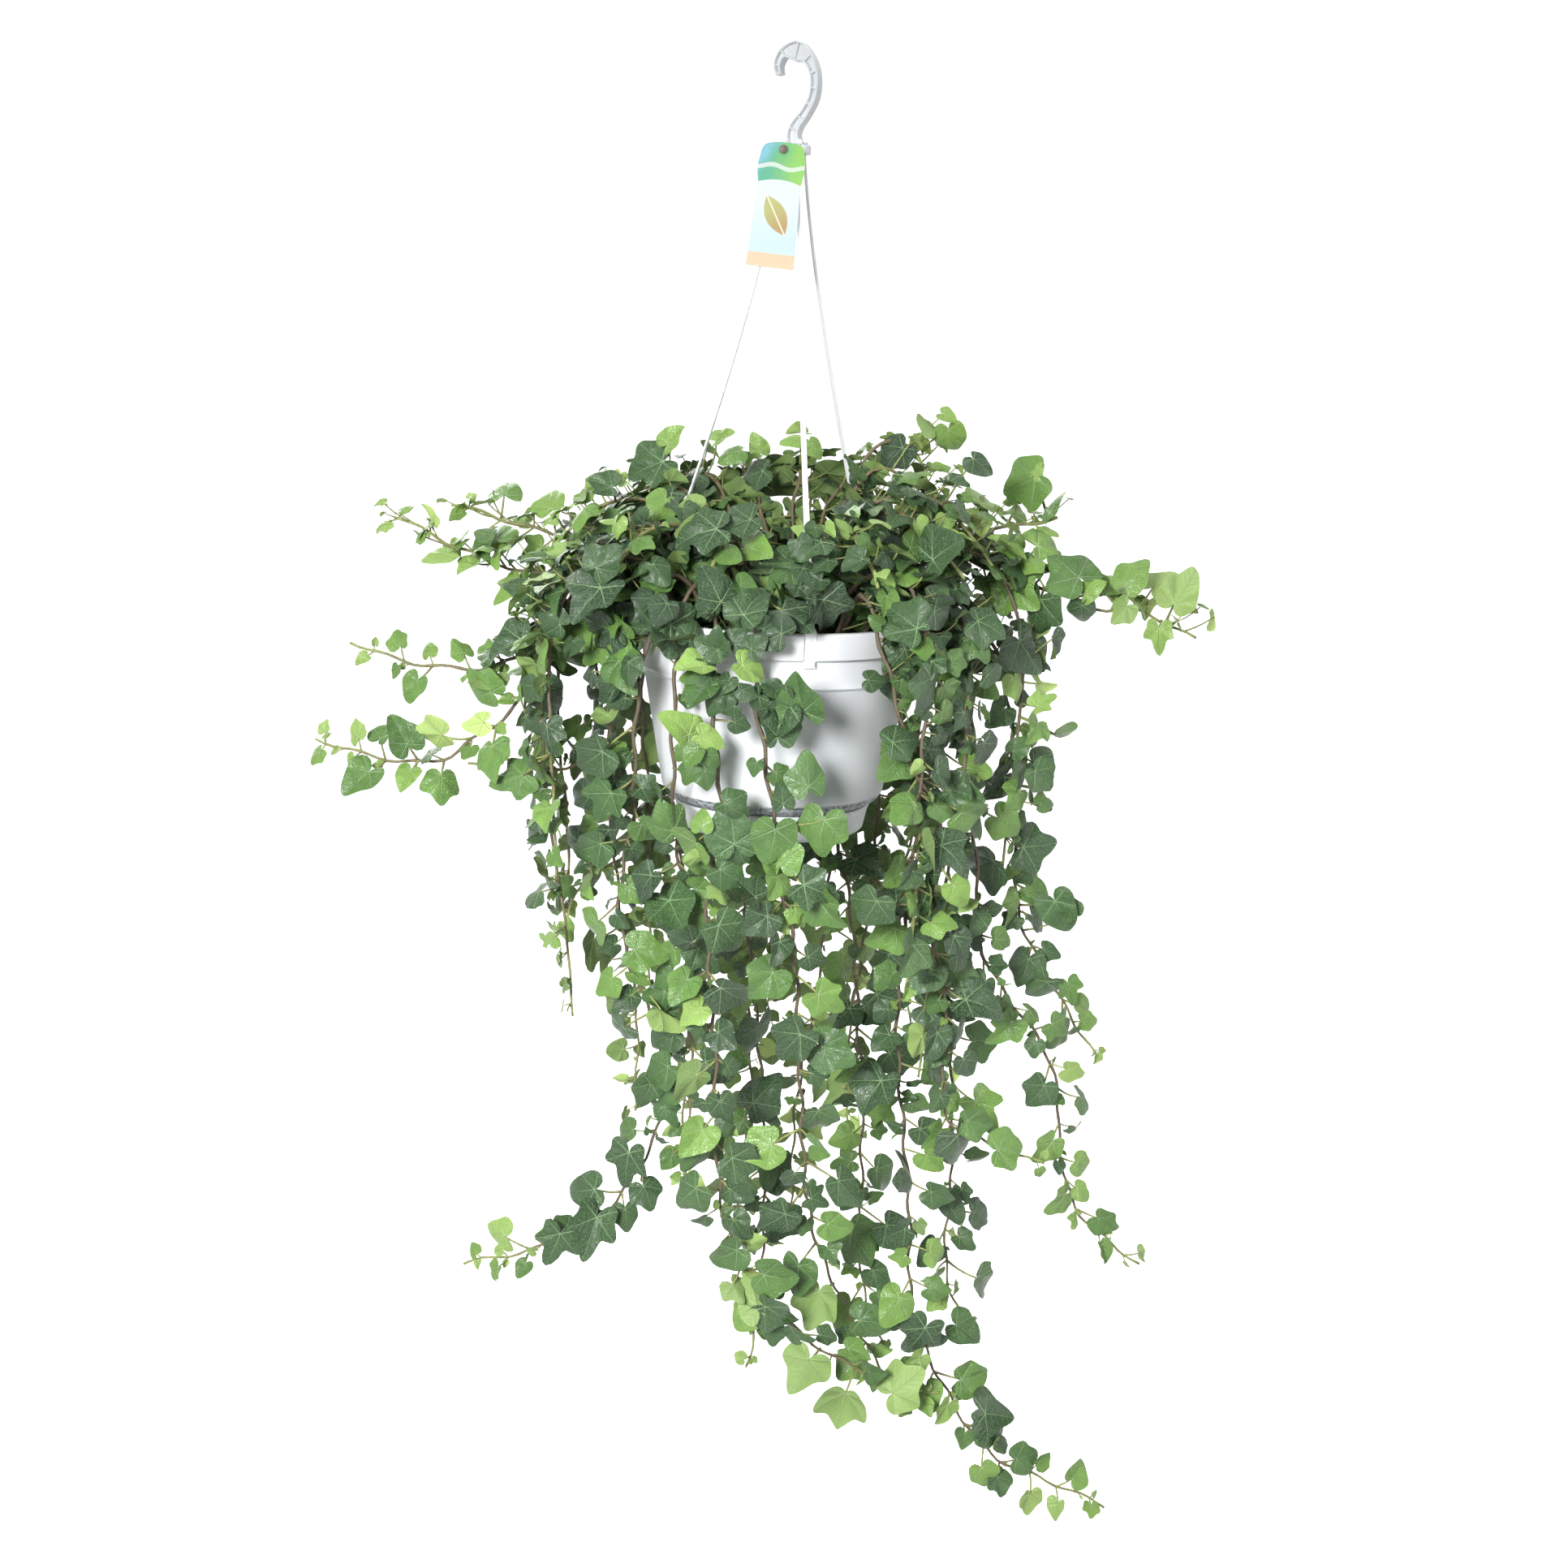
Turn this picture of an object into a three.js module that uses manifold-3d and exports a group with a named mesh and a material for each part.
// A potted english ivy in a white moulded hanging pot: a hook, three flat strands, a clip-on saucer,
// a printed tag, the soil and some fifty leafy stems that trail over the rim on all sides.
// Millimetres, +Z up. The model is laid out from the top of the pot's rim, and the group then lowers
// it so that the origin is the seat inside the hook, right above the axis of the pot.
import * as THREE from "three";
import { mergeVertices } from "three/addons/utils/BufferGeometryUtils.js";
import Module from "manifold-3d";

const wasm = await Module();
wasm.setup();

// Pot
const HANGER_DROP = 391.5; // from the hook's seat down to the rim
const RIM_R = 103;
const RIM_BAND = 19; // height of the rim's outer band
const BAND_PROUD = 4.2; // how far the band stands out from the wall
const WALL = 2.3;
const BEAD_Z = -39; // a fine raised bead runs round the wall below the rim
const BEAD_R = 101;
const BASE_Z = -128;
const BASE_R = 83;
const FLOOR_Z = -136;
const FOOT_R = 64;
const FOOT_Z = -154.4;
const DRAIN_R = 5;
const DRAIN_RING_R = 38;
const SAUCER_R = 73.5;
const SAUCER_BASE_R = 69.5;
const SAUCER_TOP_Z = -136.6;
const SAUCER_Z = -157;
const SAUCER_WALL = 1.6;
const BEAD_HALF = 1.5;
const SOIL_Z = -12;
const ROUND_SIDES = 26;
const GAP = 0.3; // clearance between neighbouring pieces

// Hanger
const STRAND_AZIMUTHS = { strand_front: -76.5, strand_right: 43.5, strand_left: 163.5 };
const STRAND_BOW = 1.3; // above 1 the strand hangs steep at the top and flares lower down
const STRAND_TOP_W = 2;
const STRAND_FOOT_W = 4.8;
const STRAND_T = 1.7;
const CLIP_W = 9;
const CLIP_T = 2.2;
const CLIP_BELOW = 5; // the clip's foot reaches this far under the rim band
const HUB_R = 11;
const HUB_TOP_Z = HANGER_DROP - 56.5;
const HUB_H = 6;
const HUB_SLOT_R = 8.4; // where each strand hangs in the hub
const HOOK_DEPTH = 9;
const HOOK_TURN = THREE.MathUtils.degToRad(-25);
const HOOK_WEB = 3; // the hook is an I-section: a web with a rim all round
const HOOK_EDGE = 1.5; // how wide that rim is
const HOOK_STEPS = 11;
const HOOK_LENGTH = 90;

// Centre line of the hook as x, height and half its thickness: tip, crown, outer bend, neck
const HOOK_LINE = [
  [-14, -8.5, 2],
  [-15.4, -1.5, 2.8],
  [-11, 6, 3.7],
  [-1, 7, 7],
  [7, 3, 4.6],
  [12.4, -5.5, 3.4],
  [14, -15.5, 3.1],
  [12.4, -25.5, 3.1],
  [7, -35, 3.3],
  [1, -42.5, 3.9],
  [-1.5, -49, 4.4],
  [0, -57.5, 4.6],
];

// Tag
const TAG_W = 33;
const TAG_H = 88;
const TAG_T = 0.9;
const TAG_HOLE_R = 1.9;
const TAG_HOLE_DOWN = 5;
const TAG_PEG = new THREE.Vector3(-8.6, -13, HUB_TOP_Z - HUB_H + 1.8);
const TAG_LEAN = THREE.MathUtils.degToRad(-10);
const TAG_TILT = THREE.MathUtils.degToRad(4.5);

// Stems and leaves
const STEM_FOOT_Z = -22;
const STEM_BASE_R = 1.75;
const STEM_TIP_R = 0.95;
const STEM_STEP = 40; // the longest straight stretch of stem
const STEM_UPRIGHT = 12; // the length that stands upright in its hole in the soil
const STEM_SIDES = 3;
const NODE_HALF = 1.3; // half the length of stem that leaf stalks spring from
const ZIGZAG = 1.6; // the stem sways by this much from node to node
const ZIGZAG_LENGTH = 46;
const FIRST_NODE = 40;
const NODE_GAP = 18; // the least way along the stem from one node to the next
const NODE_GAP_SPREAD = 12;
const YOUNG_LENGTH = 110; // leaves grow up over this length behind the tip
const LARGE_LEAF = 35;
const SMALL_LEAF = 11; // a node's second leaf is left off where it would be smaller
const KEEP_EVERY = 5; // about one node in this many bears leaves
const BLADE_HALF = 1; // half the blade's thickness where its veins meet
const GROW = 0.55; // room kept round each leaf and stem

// A leaf's outline as angle from the midrib and reach, in shares of the leaf's length
const FIVE_LOBES = [
  [0, 0.8],
  [27, 0.47],
  [56, 0.64],
  [88, 0.38],
  [122, 0.44],
  [166, 0.1],
];
const THREE_LOBES = [
  [0, 0.78],
  [34, 0.46],
  [66, 0.56],
  [118, 0.4],
  [166, 0.09],
];

// Stems with a route of their own. az is the side of the rim that the stem crosses, in degrees from
// +X towards +Y; soil is its distance from the axis; over and rise are where it tops out.
const ROUTED = [
  { name: "vine_left_a", az: 176, soil: 60, over: 108, rise: 62, leaf: 27, face: [-0.3, -1],
    route: [[-146, 5, 28], [-187, 5, 25], [-238, 0, 42], [-284, -5, 64]] },
  { name: "vine_left_b", az: 157, soil: 74, over: 112, rise: 66, leaf: 25, face: [-0.4, -1],
    route: [[-150, 44, 50], [-180, 45, 52], [-221, 44, 63], [-250, 42, 71]] },
  { name: "vine_left_c", az: 188, soil: 74, over: 112, rise: 34, leaf: 24, face: [-0.3, -1],
    route: [[-140, -14, -6], [-172, -16, -27], [-208, -16, -43], [-240, -15, -46], [-282, -12, -41],
      [-316, -8, -30]] },
  { name: "vine_left_d", az: 200, soil: 56, over: 116, rise: 44, leaf: 29, face: [-0.2, -1],
    route: [[-153, -36, 8], [-170, -38, -27], [-185, -36, -64], [-217, -33, -93], [-251, -30, -114],
      [-298, -26, -112], [-340, -20, -102]] },
  { name: "vine_left_e", az: 148, soil: 58, over: 118, rise: 40, leaf: 23, face: [-0.5, -1],
    route: [[-136, 52, -30], [-134, 36, -84], [-154, 22, -126], [-187, 18, -121], [-232, 14, -122]] },
  { name: "vine_left_f", az: 212, soil: 76, over: 120, rise: 24, leaf: 25, face: [-0.5, -1],
    route: [[-118, -58, -40], [-118, -52, -100], [-120, -32, -160], [-142, -12, -210], [-162, 0, -256]] },
  { name: "vine_left_long", az: 221, soil: 60, over: 118, rise: 30, leaf: 27, face: [-0.4, -1],
    route: [[-96, -76, -40], [-99, -72, -100], [-100, -60, -143], [-109, -54, -205], [-102, -50, -252],
      [-81, -47, -305], [-73, -45, -358], [-82, -44, -403], [-117, -42, -460], [-164, -40, -490],
      [-225, -36, -508]] },
  { name: "vine_front_a", az: 245, soil: 72, over: 110, rise: 18, leaf: 28, face: [-0.1, -1],
    route: [[-42, -112, -40], [-38, -112, -97], [-33, -108, -126], [-42, -98, -197], [-34, -92, -305],
      [-27, -92, -416], [-6, -90, -480], [40, -84, -534], [93, -78, -567], [146, -70, -584]] },
  { name: "vine_front_b", az: 262, soil: 58, over: 110, rise: 21, leaf: 30, face: [0.1, -1],
    route: [[-13, -116, -40], [-2, -116, -100], [7, -112, -157], [22, -100, -240], [34, -86, -390],
      [44, -70, -454], [64, -58, -507], [101, -50, -575], [128, -44, -603]] },
  { name: "vine_front_c", az: 233, soil: 44, over: 116, rise: 26, leaf: 26, face: [-0.3, -1],
    route: [[-70, -92, -40], [-70, -90, -100], [-66, -76, -160], [-56, -58, -229], [-53, -50, -342],
      [-57, -46, -438]] },
  { name: "vine_under_a", az: 112, soil: 72, over: 118, rise: 30, leaf: 26, face: [-0.2, -1],
    route: [[-46, 110, -60], [-42, 106, -130], [-26, 70, -200], [-10, 26, -290], [2, -8, -386],
      [6, -14, -532], [-3, -14, -598]] },
  { name: "vine_under_b", az: 74, soil: 58, over: 120, rise: 26, leaf: 27, face: [0.2, -1],
    route: [[34, 116, -60], [36, 110, -130], [54, 70, -195], [66, 30, -240], [79, 2, -380],
      [86, -10, -524], [106, -14, -580]] },
  { name: "vine_right_long", az: 319, soil: 60, over: 120, rise: 32, leaf: 27, face: [0.2, -1],
    route: [[100, -86, -40], [104, -84, -90], [106, -74, -140], [103, -62, -211], [100, -58, -298],
      [116, -56, -436], [123, -56, -522], [156, -58, -595], [192, -60, -640], [231, -62, -657],
      [280, -64, -677]] },
  { name: "vine_right_a", az: 304, soil: 74, over: 118, rise: 24, leaf: 25, face: [0.3, -1],
    route: [[84, -104, -40], [100, -104, -90], [124, -98, -139], [118, -94, -200], [134, -90, -274],
      [136, -86, -348], [164, -84, -372], [212, -82, -390]] },
  { name: "vine_right_b", az: 333, soil: 44, over: 122, rise: 30, leaf: 25, face: [0.4, -1],
    route: [[118, -56, -40], [122, -52, -130], [126, -36, -200], [138, -26, -262], [150, -24, -404],
      [149, -24, -498], [168, -26, -552]] },
  { name: "vine_right_c", az: 345, soil: 58, over: 126, rise: 36, leaf: 24, face: [0.5, -1],
    route: [[138, -44, -30], [145, -48, -80], [148, -50, -132], [155, -50, -192], [162, -50, -240],
      [187, -48, -279], [214, -46, -316], [226, -44, -359], [229, -42, -392], [247, -40, -444],
      [297, -36, -488]] },
  { name: "vine_right_d", az: 357, soil: 74, over: 128, rise: 40, leaf: 26, face: [0.6, -1],
    route: [[158, -4, -10], [174, -2, -58], [181, 0, -107], [185, 0, -162], [193, 0, -224],
      [224, 2, -281], [260, 6, -336]] },
  { name: "vine_right_e", az: 8, soil: 58, over: 120, rise: 54, leaf: 33, face: [0.2, -1],
    route: [[146, 8, 44], [176, -8, 36], [206, -16, 26], [235, -20, 17], [268, -20, 15], [306, -20, -3]] },
  { name: "vine_right_f", az: 20, soil: 74, over: 122, rise: 66, leaf: 25, face: [0.3, -1],
    route: [[152, 34, 68], [178, 32, 71], [206, 30, 79]] },
];

// Stems that hang all round: drop is how far below the rim they end, drift how far they wander
// round the pot on the way, and tuck how far they draw in under it.
const HANGING = [
  { az: 33, soil: 60, over: 146, rise: 56, drop: 300, drift: 24, tuck: 34, leaf: 25 },
  { az: 49, soil: 76, over: 122, rise: 40, drop: 430, drift: -14, tuck: 40, leaf: 27 },
  { az: 57, soil: 44, over: 150, rise: 50, drop: 250, drift: 10, tuck: 12, leaf: 26 },
  { az: 66, soil: 76, over: 124, rise: 34, drop: 500, drift: 12, tuck: 44, leaf: 25 },
  { az: 84, soil: 74, over: 142, rise: 48, drop: 360, drift: 14, tuck: 36, leaf: 28 },
  { az: 94, soil: 56, over: 122, rise: 50, drop: 560, drift: 10, tuck: 46, leaf: 26 },
  { az: 103, soil: 42, over: 156, rise: 42, drop: 280, drift: 12, tuck: 12, leaf: 25 },
  { az: 122, soil: 56, over: 130, rise: 46, drop: 480, drift: 10, tuck: 40, leaf: 27 },
  { az: 132, soil: 76, over: 148, rise: 38, drop: 330, drift: 10, tuck: 30, leaf: 25 },
  { az: 140, soil: 44, over: 166, rise: 46, drop: 420, drift: 8, tuck: 50, leaf: 26 },
  { az: 170, soil: 44, over: 158, rise: 44, drop: 240, drift: -8, tuck: 10, leaf: 25 },
  { az: 194, soil: 42, over: 164, rise: 36, drop: 300, drift: 12, tuck: 24, leaf: 24 },
  { az: 206, soil: 40, over: 168, rise: 42, drop: 190, drift: 8, tuck: 6, leaf: 26 },
  { az: 311, soil: 42, over: 150, rise: 40, drop: 260, drift: 8, tuck: 12, leaf: 26 },
  { az: 326, soil: 72, over: 152, rise: 34, drop: 330, drift: 6, tuck: 26, leaf: 24 },
  { az: 351, soil: 40, over: 172, rise: 52, drop: 190, drift: 8, tuck: 6, leaf: 27 },
];

// Short shoots that make the bushy crown: each climbs to rise and nods over by reach.
const CROWN = [
  { az: 15, soil: 30, rise: 112, reach: 86, leaf: 26 },
  { az: 28, soil: 36, rise: 132, reach: 104, leaf: 22 },
  { az: 50, soil: 28, rise: 104, reach: 110, leaf: 27 },
  { az: 80, soil: 32, rise: 112, reach: 96, leaf: 28 },
  { az: 107, soil: 26, rise: 96, reach: 118, leaf: 27 },
  { az: 137, soil: 30, rise: 102, reach: 112, leaf: 28 },
  { az: 158, soil: 28, rise: 92, reach: 128, leaf: 26 },
  { az: 186, soil: 32, rise: 84, reach: 140, leaf: 28 },
  { az: 217, soil: 34, rise: 70, reach: 116, leaf: 29 },
  { az: 240, soil: 30, rise: 60, reach: 76, leaf: 30 },
  { az: 288, soil: 36, rise: 46, reach: 64, leaf: 30 },
  { az: 300, soil: 28, rise: 72, reach: 108, leaf: 28 },
  { az: 324, soil: 26, rise: 84, reach: 132, leaf: 28 },
  { az: 341, soil: 24, rise: 96, reach: 136, leaf: 26 },
];

// The arch of a crown shoot, as shares of its reach and rise
const ARCH = [
  [0.12, 0.55],
  [0.4, 0.95],
  [0.72, 0.92],
  [1, 0.5],
];

const MATERIALS = {
  pot: new THREE.MeshStandardMaterial({ color: 0xe6e9f2, roughness: 0.45 }),
  hanger: new THREE.MeshStandardMaterial({ color: 0xf4f6fa, roughness: 0.35 }),
  tag: new THREE.MeshStandardMaterial({ color: 0xdfeef0, roughness: 0.5 }),
  soil: new THREE.MeshStandardMaterial({ color: 0x2b211a, roughness: 1 }),
  ivy: new THREE.MeshStandardMaterial({ color: 0x4a6b36, roughness: 0.5 }),
};

const UP = new THREE.Vector3(0, 0, 1);
const wallR = RIM_R - BAND_PROUD;

// A repeatable stream of draws from 0 to 1.
function draws(seed) {
  let state = seed >>> 0;
  return () => {
    state = (state + 0x6d2b79f5) >>> 0;
    let t = state;
    t = Math.imul(t ^ (t >>> 15), t | 1);
    t ^= t + Math.imul(t ^ (t >>> 7), t | 61);
    return ((t ^ (t >>> 14)) >>> 0) / 4294967296;
  };
}

// A closed geometry as a solid that can be joined and cut.
function solidOf(geometry) {
  const bare = geometry.index ? geometry.toNonIndexed() : geometry.clone();
  bare.deleteAttribute("normal");
  bare.deleteAttribute("uv");
  const merged = mergeVertices(bare, 1e-4);
  return new wasm.Manifold(
    new wasm.Mesh({
      numProp: 3,
      vertProperties: merged.attributes.position.array,
      triVerts: new Uint32Array(merged.index.array),
    }),
  );
}

function meshOf(name, solid, material) {
  const made = solid.getMesh();
  const geometry = new THREE.BufferGeometry();
  geometry.setAttribute("position", new THREE.BufferAttribute(made.vertProperties, made.numProp));
  geometry.setIndex(new THREE.BufferAttribute(made.triVerts, 1));
  geometry.computeVertexNormals();
  const mesh = new THREE.Mesh(geometry, material);
  mesh.name = name;
  return mesh;
}

// A closed geometry from corner points and triples of them.
function geometryOf(points, faces) {
  const geometry = new THREE.BufferGeometry().setFromPoints(points);
  geometry.setIndex(faces.flat());
  return geometry;
}

// Rings of equally many points, each joined to the next and the ends closed.
function loft(rings) {
  const sides = rings[0].length;
  const faces = [];
  for (let r = 0; r + 1 < rings.length; r++)
    for (let i = 0; i < sides; i++) {
      const j = (i + 1) % sides;
      const low = r * sides;
      const high = low + sides;
      faces.push([low + i, low + j, high + j], [low + i, high + j, high + i]);
    }
  const last = (rings.length - 1) * sides;
  for (let i = 1; i + 1 < sides; i++) {
    faces.push([0, i + 1, i]);
    faces.push([last, last + i, last + i + 1]);
  }
  return geometryOf(rings.flat(), faces);
}

function lathe(profile, sides = ROUND_SIDES) {
  const points = profile.map(([r, z]) => new THREE.Vector2(r, z));
  return new THREE.LatheGeometry(points, sides).rotateX(Math.PI / 2);
}

function box(width, depth, height, x, y, z) {
  return new THREE.BoxGeometry(width, depth, height).translate(x, y, z);
}

// Something made facing +X, turned to the azimuth given in degrees.
function turned(geometry, azimuth) {
  return geometry.rotateZ(THREE.MathUtils.degToRad(azimuth));
}

function polar(azimuth, radius, z) {
  const a = THREE.MathUtils.degToRad(azimuth);
  return new THREE.Vector3(radius * Math.cos(a), radius * Math.sin(a), z);
}

// Rim band with a notch for each clip, bead, tapered wall, chamfered base, drained floor, foot ring
function makePot() {
  const inner = wallR - WALL;
  let pot = solidOf(
    lathe([
      [0, FLOOR_Z],
      [FOOT_R - 3, FLOOR_Z],
      [FOOT_R - 3, FOOT_Z],
      [FOOT_R, FOOT_Z],
      [FOOT_R, FLOOR_Z],
      [SAUCER_R, FLOOR_Z],
      [BASE_R, BASE_Z],
      [wallR, BEAD_Z - BEAD_HALF],
      [BEAD_R, BEAD_Z],
      [wallR, BEAD_Z + BEAD_HALF],
      [wallR, -RIM_BAND],
      [RIM_R, -RIM_BAND],
      [RIM_R, 0],
      [inner, 0],
      [inner, BEAD_Z],
      [BASE_R - WALL, FLOOR_Z + 5],
      [BASE_R - WALL - 3, FLOOR_Z + WALL],
      [0, FLOOR_Z + WALL],
    ]),
  );
  for (const azimuth of Object.values(STRAND_AZIMUTHS)) {
    const middle = wallR + BAND_PROUD / 2 + 1.1;
    const notch = box(BAND_PROUD + 2, CLIP_W + 2 * GAP, RIM_BAND + 2, middle, 0, -RIM_BAND / 2);
    pot = pot.subtract(solidOf(turned(notch, azimuth)));
  }
  for (let i = 0; i < 4; i++) {
    const hole = new THREE.CylinderGeometry(DRAIN_R, DRAIN_R, 4 * WALL, 8).rotateX(Math.PI / 2);
    hole.translate(DRAIN_RING_R, 0, FLOOR_Z + WALL / 2);
    pot = pot.subtract(solidOf(turned(hole, 45 + 90 * i)));
  }
  return pot;
}

// A shallow dish that the pot's foot ring stands in
function makeSaucer() {
  const dish = FOOT_Z - GAP;
  return solidOf(
    lathe([
      [0, SAUCER_Z],
      [SAUCER_BASE_R - 2, SAUCER_Z],
      [SAUCER_BASE_R, SAUCER_Z + 2],
      [SAUCER_R, SAUCER_TOP_Z],
      [SAUCER_R - SAUCER_WALL, SAUCER_TOP_Z],
      [SAUCER_BASE_R - SAUCER_WALL, dish],
      [0, dish],
    ]),
  );
}

// Soil that fills the pot, with a plain hole for each stem's foot
function makeSoil(feet) {
  const wall = wallR - WALL - GAP;
  let soil = solidOf(
    lathe([
      [0, FLOOR_Z + WALL + GAP],
      [BASE_R - WALL - 3.6, FLOOR_Z + WALL + GAP],
      [BASE_R - WALL - 0.6, FLOOR_Z + 5],
      [wall - 0.2, BEAD_Z],
      [wall, SOIL_Z - 3],
      [wall - 12, SOIL_Z],
      [0, SOIL_Z + 2],
    ]),
  );
  for (const foot of feet) {
    const reach = STEM_BASE_R + 2 * GAP;
    const outward = foot.clone().setZ(0);
    const hole = [STEM_FOOT_Z - GAP, 0].map((z) => ringAt(foot.clone().setZ(z), UP, outward, reach));
    soil = soil.subtract(solidOf(loft(hole)));
  }
  return soil;
}

// The hook's outline, drawn in by inset from its edges
function hookOutline(inset) {
  const line = new THREE.CatmullRomCurve3(HOOK_LINE.map(([x, z, half]) => new THREE.Vector3(x, z, half)));
  const left = [];
  const right = [];
  const end = inset / HOOK_LENGTH;
  for (let i = 0; i <= HOOK_STEPS; i++) {
    const u = THREE.MathUtils.lerp(end, 1 - end, i / HOOK_STEPS);
    const p = line.getPoint(u);
    const t = line.getTangent(u).setZ(0).normalize();
    const half = p.z - inset;
    left.push(new THREE.Vector2(p.x - t.y * half, p.y + t.x * half));
    right.push(new THREE.Vector2(p.x + t.y * half, p.y - t.x * half));
  }
  return new THREE.Shape([...left, ...right.reverse()]);
}

// An outline in x and height, given a depth across the middle plane
function slab(shape, depth, from) {
  const made = new THREE.ExtrudeGeometry(shape, { depth, bevelEnabled: false });
  return made.rotateX(Math.PI / 2).translate(0, from + depth, 0);
}

// Hook, hub plate with three open slots, and the peg that carries the tag
function makeHook() {
  let hook = solidOf(slab(hookOutline(0), HOOK_DEPTH, -HOOK_DEPTH / 2));
  const pocketDepth = (HOOK_DEPTH - HOOK_WEB) / 2;
  for (const from of [-HOOK_DEPTH / 2 - 1, HOOK_WEB / 2])
    hook = hook.subtract(solidOf(slab(hookOutline(HOOK_EDGE), pocketDepth + 1, from)));
  const placed = new THREE.Matrix4().makeRotationZ(HOOK_TURN).setPosition(0, 0, HANGER_DROP);
  hook = hook.transform(placed.elements);
  const middle = HUB_TOP_Z - HUB_H / 2;
  const plate = new THREE.CylinderGeometry(HUB_R, HUB_R, HUB_H, 18).rotateX(Math.PI / 2);
  hook = hook.add(solidOf(plate.translate(0, 0, middle)));
  for (const azimuth of Object.values(STRAND_AZIMUTHS)) {
    const slot = box(9, STRAND_TOP_W + 2 * GAP, HUB_H + 2, HUB_SLOT_R + 3, 0, middle);
    hook = hook.subtract(solidOf(turned(slot, azimuth)));
  }
  const peg = new THREE.CylinderGeometry(TAG_HOLE_R - GAP, TAG_HOLE_R - GAP, 10, 8);
  hook = hook.add(solidOf(peg.translate(TAG_PEG.x, TAG_PEG.y + 2.6, TAG_PEG.z)));
  const head = new THREE.CylinderGeometry(TAG_HOLE_R + 1, TAG_HOLE_R + 1, 1.4, 8);
  return hook.add(solidOf(head.translate(TAG_PEG.x, TAG_PEG.y - 2.4, TAG_PEG.z)));
}

// A flat strand from its head on the hub, down to the clip that grips the rim band
function makeStrand(azimuth) {
  const top = HUB_TOP_Z + GAP;
  const rings = [];
  const stations = 5;
  const clipR = wallR + GAP + CLIP_T / 2;
  const section = (radius, z, width, thick) => [
    new THREE.Vector3(radius - thick / 2, -width / 2, z),
    new THREE.Vector3(radius + thick / 2, -width / 2, z),
    new THREE.Vector3(radius + thick / 2, width / 2, z),
    new THREE.Vector3(radius - thick / 2, width / 2, z),
  ];
  for (let i = 0; i <= stations; i++) {
    const down = i / stations;
    const radius = THREE.MathUtils.lerp(HUB_SLOT_R, clipR, Math.pow(down, STRAND_BOW));
    const width = THREE.MathUtils.lerp(STRAND_TOP_W, STRAND_FOOT_W, down);
    rings.unshift(section(radius, THREE.MathUtils.lerp(top, 7, down), width, STRAND_T));
  }
  rings.unshift(section(clipR, 3, CLIP_W, CLIP_T));
  rings.unshift(section(clipR, -RIM_BAND - CLIP_BELOW, CLIP_W, CLIP_T));
  let strand = solidOf(loft(rings));
  strand = strand.add(solidOf(box(4.4, 5.2, 3, HUB_SLOT_R, 0, top + 1.5)));
  const barbH = CLIP_BELOW - GAP;
  const barbT = BAND_PROUD - GAP;
  const barb = box(barbT, CLIP_W - 2, barbH, wallR + GAP + barbT / 2, 0, -RIM_BAND - GAP - barbH / 2);
  strand = strand.add(solidOf(barb));
  const placed = new THREE.Matrix4().makeRotationZ(THREE.MathUtils.degToRad(azimuth));
  return strand.transform(placed.elements);
}

// A thin printed card with a rounded head, hung by its hole and leaning on the front strand
function makeTag() {
  const shape = new THREE.Shape();
  const half = TAG_W / 2;
  const neck = -24;
  shape.moveTo(-half - 0.6, TAG_HOLE_DOWN - TAG_H);
  shape.lineTo(half + 0.6, TAG_HOLE_DOWN - TAG_H);
  shape.lineTo(half - 1.4, neck);
  shape.lineTo(half, neck + 7);
  shape.lineTo(half - 1, TAG_HOLE_DOWN - 5);
  shape.lineTo(half - 7, TAG_HOLE_DOWN - 0.5);
  shape.lineTo(0, TAG_HOLE_DOWN);
  shape.lineTo(-half + 8, TAG_HOLE_DOWN - 1);
  shape.lineTo(-half + 1, TAG_HOLE_DOWN - 6);
  shape.lineTo(-half, neck + 7);
  shape.lineTo(-half + 1.4, neck);
  shape.closePath();
  const hole = new THREE.Path();
  hole.absarc(0, 0, TAG_HOLE_R + 0.15, 0, 2 * Math.PI, true);
  shape.holes.push(hole);
  const card = new THREE.ExtrudeGeometry(shape, { depth: TAG_T, bevelEnabled: false, curveSegments: 4 });
  card.rotateX(Math.PI / 2).translate(0, TAG_T / 2, 0);
  card.rotateY(TAG_TILT).rotateX(TAG_LEAN);
  return solidOf(card.translate(TAG_PEG.x, TAG_PEG.y, TAG_PEG.z));
}

// Points of a stem's line from its foot in the soil to its tip
function stemPoints(vine) {
  const foot = polar(vine.az, vine.soil, SOIL_Z + 4);
  const points = [foot];
  const side = polar(vine.az + 90, 1, 0);
  const spread = (share) => THREE.MathUtils.lerp(vine.soil, vine.over ?? vine.soil + vine.reach, share);
  if (vine.reach) {
    for (const [out, up] of ARCH) points.push(polar(vine.az, spread(out), vine.rise * up));
    return points;
  }
  points.push(polar(vine.az, spread(0.42), vine.rise * 0.85));
  points.push(polar(vine.az, spread(0.82), vine.rise));
  if (vine.route) return points.concat(vine.route.map(([x, y, z]) => new THREE.Vector3(x, y, z)));
  points.push(polar(vine.az, vine.over + 8, vine.rise * 0.2 - 12));
  const steps = Math.ceil(vine.drop / 90);
  for (let i = 1; i <= steps; i++) {
    const share = i / steps;
    const tucked = vine.over + 10 - vine.tuck * THREE.MathUtils.smoothstep(share, 0.2, 1);
    const point = polar(vine.az, tucked, -24 - (vine.drop - 24) * share);
    points.push(point.addScaledVector(side, vine.drift * share * share + 3 * Math.sin(2.3 * i + vine.az)));
  }
  return points;
}

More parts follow.
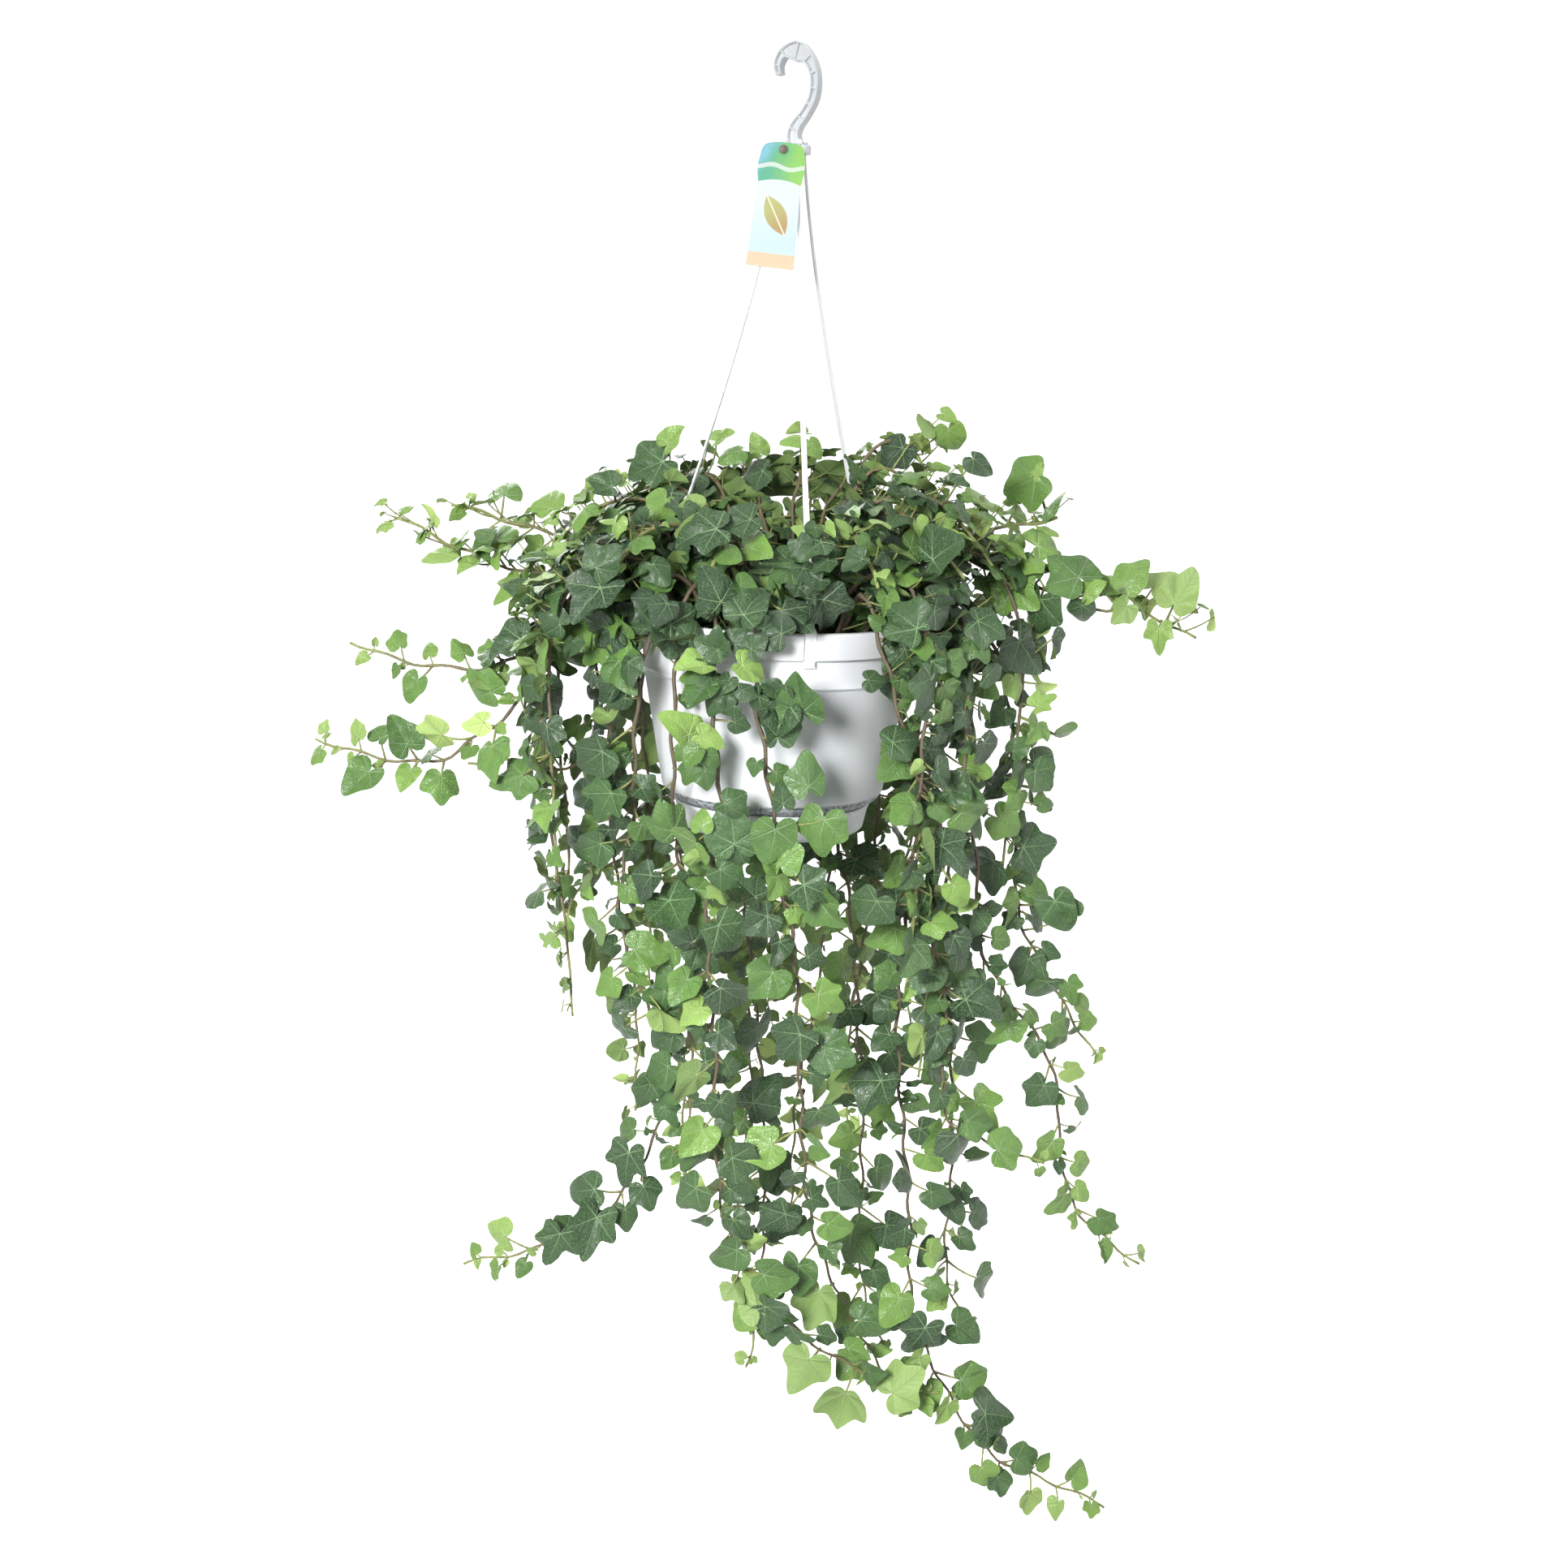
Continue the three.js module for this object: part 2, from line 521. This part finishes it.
// A stem's line as short steps, with its length so far at each
function stemLine(vine) {
  const points = stemPoints(vine);
  const curve = new THREE.CatmullRomCurve3(points, false, "catmullrom", 0.5);
  const smooth = curve.getPoints(12 * (points.length - 1));
  const line = [smooth[0].clone().setZ(STEM_FOOT_Z), ...smooth];
  const lengths = [0];
  for (let i = 1; i < line.length; i++) lengths.push(lengths[i - 1] + line[i].distanceTo(line[i - 1]));
  const total = lengths.at(-1);
  const at = (s) => {
    let i = 1;
    while (i < line.length - 1 && lengths[i] < s) i++;
    const share = (s - lengths[i - 1]) / (lengths[i] - lengths[i - 1]);
    const tangent = line[i].clone().sub(line[i - 1]).normalize();
    const face = facing(vine, line[i]);
    const across = new THREE.Vector3().crossVectors(tangent, face);
    if (across.lengthSq() < 0.04) across.crossVectors(tangent, UP);
    across.normalize();
    const ease = Math.min(1, Math.max(0, (s - 20) / 40));
    const sway = ZIGZAG * Math.sin((2 * Math.PI * s) / ZIGZAG_LENGTH) * ease;
    const point = line[i - 1].clone().lerp(line[i], share).addScaledVector(across, sway);
    return { point, tangent, face, across };
  };
  return { total, at };
}

// The level direction that a stem's leaves turn to: its own, or straight out from the axis
function facing(vine, point) {
  const [x, y] = vine.face ?? [point.x, point.y];
  return new THREE.Vector3(x, y, 0).normalize();
}

function stemRadius(s, total) {
  return THREE.MathUtils.lerp(STEM_BASE_R, STEM_TIP_R, Math.min(1, s / Math.max(total, 320)));
}

// A ring of the stem's section round a point; outward fixes where its first corner lies
function ringAt(point, tangent, outward, radius, sides = STEM_SIDES) {
  const first = outward.clone().addScaledVector(tangent, -outward.dot(tangent)).normalize();
  const second = new THREE.Vector3().crossVectors(tangent, first);
  return Array.from({ length: sides }, (_, i) => {
    const a = (2 * Math.PI * i) / sides;
    const corner = point.clone().addScaledVector(first, radius * Math.cos(a));
    return corner.addScaledVector(second, radius * Math.sin(a));
  });
}

// Rings along a stem between stops that may lie far apart, as [s, node or undefined]
function ringStops(total, nodes) {
  const fixed = [[0], [STEM_UPRIGHT]];
  for (const node of nodes) fixed.push([node.s - NODE_HALF, node], [node.s + NODE_HALF]);
  fixed.push([total]);
  const stops = [];
  for (let i = 0; i + 1 < fixed.length; i++) {
    const [from, node] = fixed[i];
    stops.push([from, node]);
    const gap = fixed[i + 1][0] - from;
    const parts = Math.ceil(gap / STEM_STEP);
    for (let part = 1; part < parts && from > 0; part++) stops.push([from + (gap * part) / parts]);
  }
  return [...stops, [total]];
}

function stemRings(line, stops, grow) {
  const foot = line.at(0).point;
  let outward = foot.clone().setZ(0);
  return stops.map(([s]) => {
    const { point, tangent } = line.at(s);
    const upright = s <= STEM_UPRIGHT;
    const spot = upright ? foot.clone().setZ(point.z) : point;
    const ring = ringAt(spot, upright ? UP : tangent, outward, stemRadius(s, line.total) + grow);
    outward = ring[0].clone().sub(spot);
    return ring;
  });
}

// A stem with no leaves on it, for telling what would cross it
function bareStem(line, grow) {
  const stops = [[0]];
  for (let s = STEM_UPRIGHT; s < line.total; s += STEM_STEP / 2) stops.push([s]);
  return loft(stemRings(line, [...stops, [line.total]], grow));
}

// Every node that the growing rule puts on a stem, in order from the foot, with its two leaves
function nodesOf(vine, line, seed) {
  const draw = draws(seed);
  const nodes = [];
  let s = FIRST_NODE + 8 * draw();
  for (let k = 0; s < line.total - NODE_HALF; k++) {
    const spot = line.at(s);
    const young = Math.min(1, 0.42 + (line.total - s) / YOUNG_LENGTH);
    const grand = draw() > 0.86 ? 1.4 : 1;
    const size = vine.leaf * (0.78 + 0.42 * draw()) * young * grand;
    const hand = k % 2 ? -1 : 1;
    const leaves = [leafAt(spot, size, hand, draw), leafAt(spot, size * (0.5 + 0.3 * draw()), -hand, draw)];
    nodes.push({ index: k, s, leaves });
    s += NODE_GAP + NODE_GAP_SPREAD * draw();
  }
  return nodes;
}

// How one leaf stands off its stem: the way of its stalk, its blade's normal and its tip
function leafAt({ point, tangent, face, across }, size, hand, draw) {
  const wild = [draw() - 0.5, draw() - 0.5, draw() - 0.5];
  const level = 1 - Math.abs(tangent.z);
  const lift = 0.25 + 0.7 * level * (point.z > 0 ? 1 : 0.3) + 0.5 * wild[0];
  const normal = face.clone().addScaledVector(UP, lift).addScaledVector(across, 0.7 * wild[1]).normalize();
  const tip = across.clone().multiplyScalar(0.8 * hand).addScaledVector(tangent, 0.3);
  tip.addScaledVector(UP, -0.7 * (1 - 0.7 * level) * (0.6 + wild[2]));
  tip.addScaledVector(normal, -tip.dot(normal)).normalize();
  const stalk = tip.clone().addScaledVector(normal, 0.3 + 0.5 * draw()).normalize();
  const reach = size * (0.45 + 0.35 * draw());
  return { point, size, stalk, normal, tip, reach, lobes: draw() > 0.35 ? FIVE_LOBES : THREE_LOBES };
}

// One lobed blade, ridged along its veins. Its faces leave open the notch, whose four corners are
// the mouth that the stalk joins.
function bladeOf(leaf, grow) {
  const across = new THREE.Vector3().crossVectors(leaf.normal, leaf.tip);
  const joint = leaf.point.clone().addScaledVector(leaf.stalk, leaf.reach);
  const half = leaf.lobes.map(([angle, reach], i) => [angle, reach, i % 2 ? 0.05 : -0.04]);
  const rows = [...half.slice(1).reverse().map(([angle, reach, lift]) => [-angle, reach, lift]), ...half];
  const points = rows.map(([angle, reach, lift]) => {
    const a = THREE.MathUtils.degToRad(angle);
    const far = reach * leaf.size + (reach > 0.2 ? grow : 0);
    const p = joint.clone().addScaledVector(leaf.tip, far * Math.cos(a));
    return p.addScaledVector(across, far * Math.sin(a)).addScaledVector(leaf.normal, lift * leaf.size);
  });
  const n = points.length;
  points.push(joint.clone().addScaledVector(leaf.normal, BLADE_HALF + grow));
  points.push(joint.clone().addScaledVector(leaf.normal, -BLADE_HALF - grow));
  const faces = [];
  for (let i = 0; i + 1 < n; i++) faces.push([n, i, i + 1], [n + 1, i + 1, i]);
  return { points, faces, mouth: [n, n - 1, n + 1, 0] };
}

// Faces between two loops of four corners, turned against each other so that they twist least
function bridge(points, mouth, root) {
  const way = (m, i) => points[m].distanceTo(points[root[i % 4]]);
  const twist = (turn) => mouth.reduce((sum, m, i) => sum + way(m, i + turn), 0);
  const turn = [0, 1, 2, 3].reduce((best, one) => (twist(one) < twist(best) ? one : best));
  return mouth.flatMap((m, i) => {
    const next = mouth[(i + 1) % 4];
    const r = root[(i + turn) % 4];
    const s = root[(i + 1 + turn) % 4];
    return [[m, next, s], [m, s, r]];
  });
}

// The leaf with a stalk that ends in a small square at the stem, for telling what it would cross
function looseLeaf(leaf, grow) {
  const { points, faces, mouth } = bladeOf(leaf, grow);
  const start = points.length;
  const back = leaf.stalk.clone().negate();
  const from = leaf.point.clone().addScaledVector(leaf.stalk, STEM_BASE_R + 2 * GROW + 2);
  points.push(...ringAt(from, back, leaf.normal, 1 + grow, 4));
  const root = [start, start + 1, start + 2, start + 3];
  return { points, blade: faces, stalk: bridge(points, mouth, root) };
}

// A stem with the leaves of its kept nodes, as one closed surface
function vineGeometry({ line, nodes }) {
  const stops = ringStops(line.total, nodes.filter((node) => node.kept));
  const rings = stemRings(line, stops, 0);
  const points = rings.flat();
  const faces = [];
  for (let r = 0; r + 1 < rings.length; r++) {
    const low = r * STEM_SIDES;
    const sides = Array.from({ length: STEM_SIDES }, (_, i) => {
      const j = (i + 1) % STEM_SIDES;
      return [low + i, low + j, low + STEM_SIDES + j, low + STEM_SIDES + i];
    });
    const node = stops[r][1];
    for (const leaf of node ? node.leaves.filter((one) => one.grown) : []) {
      const outOf = ([a, , c]) => points[a].clone().lerp(points[c], 0.5).sub(leaf.point).normalize();
      const lean = (corners) => outOf(corners).dot(leaf.stalk);
      sides.sort((one, two) => lean(two) - lean(one));
      const side = sides.shift().reverse();
      const { points: more, faces: blade, mouth } = bladeOf(leaf, 0);
      const start = points.length;
      points.push(...more);
      faces.push(...blade.map((face) => face.map((i) => i + start)));
      faces.push(...bridge(points, mouth.map((i) => i + start), side));
    }
    for (const [a, b, c, d] of sides) faces.push([a, b, c], [a, c, d]);
  }
  const last = (rings.length - 1) * STEM_SIDES;
  faces.push([0, 2, 1], [last, last + 1, last + 2]);
  return geometryOf(points, faces);
}

// A piece as loose triangles and edges, for telling whether two pieces cross
function hullOf(points, faces) {
  const box = new THREE.Box3().setFromPoints(points);
  const seen = new Set();
  const edges = [];
  for (const face of faces)
    face.forEach((a, i) => {
      const b = face[(i + 1) % 3];
      const key = Math.min(a, b) * 4096 + Math.max(a, b);
      if (!seen.has(key)) edges.push([points[a], points[b]]);
      seen.add(key);
    });
  return { box, edges, triangles: faces.map((face) => face.map((i) => points[i])) };
}

function hullOfGeometry(geometry) {
  const merged = mergeVertices(geometry, 1e-4);
  const position = merged.attributes.position;
  const pointAt = (_, i) => new THREE.Vector3().fromBufferAttribute(position, i);
  const points = Array.from({ length: position.count }, pointAt);
  const faces = [];
  for (let i = 0; i < merged.index.count; i += 3) {
    faces.push([0, 1, 2].map((k) => merged.index.getX(i + k)));
  }
  return hullOf(points, faces);
}

const ray = new THREE.Ray();
const met = new THREE.Vector3();

function pierces(edges, triangles, { min, max }) {
  for (const [a, b] of edges) {
    const above = Math.min(a.x, b.x) > max.x || Math.min(a.y, b.y) > max.y || Math.min(a.z, b.z) > max.z;
    const below = Math.max(a.x, b.x) < min.x || Math.max(a.y, b.y) < min.y || Math.max(a.z, b.z) < min.z;
    if (above || below) continue;
    ray.origin.copy(a);
    ray.direction.subVectors(b, a);
    const length = ray.direction.length();
    ray.direction.divideScalar(length);
    for (const [p, q, r] of triangles)
      if (ray.intersectTriangle(p, q, r, false, met) && met.distanceTo(a) <= length) return true;
  }
  return false;
}

function cross(one, two) {
  if (!one.box.intersectsBox(two.box)) return false;
  return pierces(one.edges, two.triangles, two.box) || pierces(two.edges, one.triangles, one.box);
}

// Radius of the pot and saucer's outside at a height, with room to spare
function potReach(z) {
  const room = 3;
  if (z > room || z < SAUCER_Z - room) return 0;
  if (z > -RIM_BAND - CLIP_BELOW - room) return RIM_R + 1 + room;
  if (z < BASE_Z - room) return SAUCER_R + room;
  return THREE.MathUtils.mapLinear(z, BEAD_Z, BASE_Z, BEAD_R, BASE_R) + room;
}

function clearOfPot(points) {
  return points.every((p) => {
    const radius = Math.hypot(p.x, p.y);
    if (radius > potReach(p.z)) return true;
    return radius < wallR - WALL - 3 && p.z > SOIL_Z + 4;
  });
}

// All vines of the plant, each with its line and its leaves
const vines = [
  ...ROUTED,
  ...HANGING.map((vine) => ({ ...vine, name: `vine_hanging_${String(vine.az).padStart(3, "0")}` })),
  ...CROWN.map((vine) => ({ ...vine, name: `shoot_crown_${String(vine.az).padStart(3, "0")}` })),
];
for (const [i, vine] of vines.entries()) {
  vine.line = stemLine(vine);
  vine.nodes = nodesOf(vine, vine.line, 101 + 17 * i);
  vine.hull = hullOfGeometry(bareStem(vine.line, 2 * GROW));
}

const hook = makeHook();
const strands = Object.entries(STRAND_AZIMUTHS).map(([name, azimuth]) => [name, makeStrand(azimuth)]);
const tag = makeTag();
const hulls = [hook, tag, ...strands.map(([, solid]) => solid)].map((solid) =>
  hullOfGeometry(meshOf("", solid, MATERIALS.hanger).geometry),
);

// A leaf is grown where it crosses nothing that is already there
function grows(vine, leaf) {
  const { points, blade, stalk } = looseLeaf(leaf, GROW);
  if (!clearOfPot(points)) return false;
  const whole = hullOf(points, [...blade, ...stalk]);
  if ([...vines.map(({ hull }) => hull), ...hulls].some((other) => cross(whole, other))) return false;
  hulls.push(whole);
  leaf.grown = true;
  return true;
}

// A node is kept if its first leaf has room; its second leaf follows where that has room too
function keeps(vine, node) {
  const near = vine.nodes.slice(Math.max(0, node.index - 1), node.index + 2);
  if (near.some(({ kept }) => kept) || !grows(vine, node.leaves[0])) return node.kept;
  if (node.leaves[1].size > SMALL_LEAF) grows(vine, node.leaves[1]);
  node.kept = true;
  return true;
}

// The largest leaves first, then each stem's tip, then one node of every few that has room
for (const vine of vines) {
  for (const node of vine.nodes.filter(({ leaves }) => leaves[0].size > LARGE_LEAF)) keeps(vine, node);
}
for (const vine of vines) keeps(vine, vine.nodes.at(-1));
const longest = Math.max(...vines.map(({ nodes }) => nodes.length));
for (let start = 0; start < longest; start += KEEP_EVERY) {
  for (const vine of vines) vine.nodes.slice(start, start + KEEP_EVERY).some((node) => keeps(vine, node));
}

const plant = new THREE.Group();
plant.position.z = -HANGER_DROP;
const feet = vines.map((vine) => vine.line.at(0).point);
plant.add(meshOf("pot", makePot(), MATERIALS.pot));
plant.add(meshOf("saucer", makeSaucer(), MATERIALS.pot));
plant.add(meshOf("soil", makeSoil(feet), MATERIALS.soil));
plant.add(meshOf("hook", hook, MATERIALS.hanger));
for (const [name, solid] of strands) plant.add(meshOf(name, solid, MATERIALS.hanger));
plant.add(meshOf("tag", tag, MATERIALS.tag));
for (const vine of vines) plant.add(meshOf(vine.name, solidOf(vineGeometry(vine)), MATERIALS.ivy));

const group = new THREE.Group();
group.add(plant);
export default group;
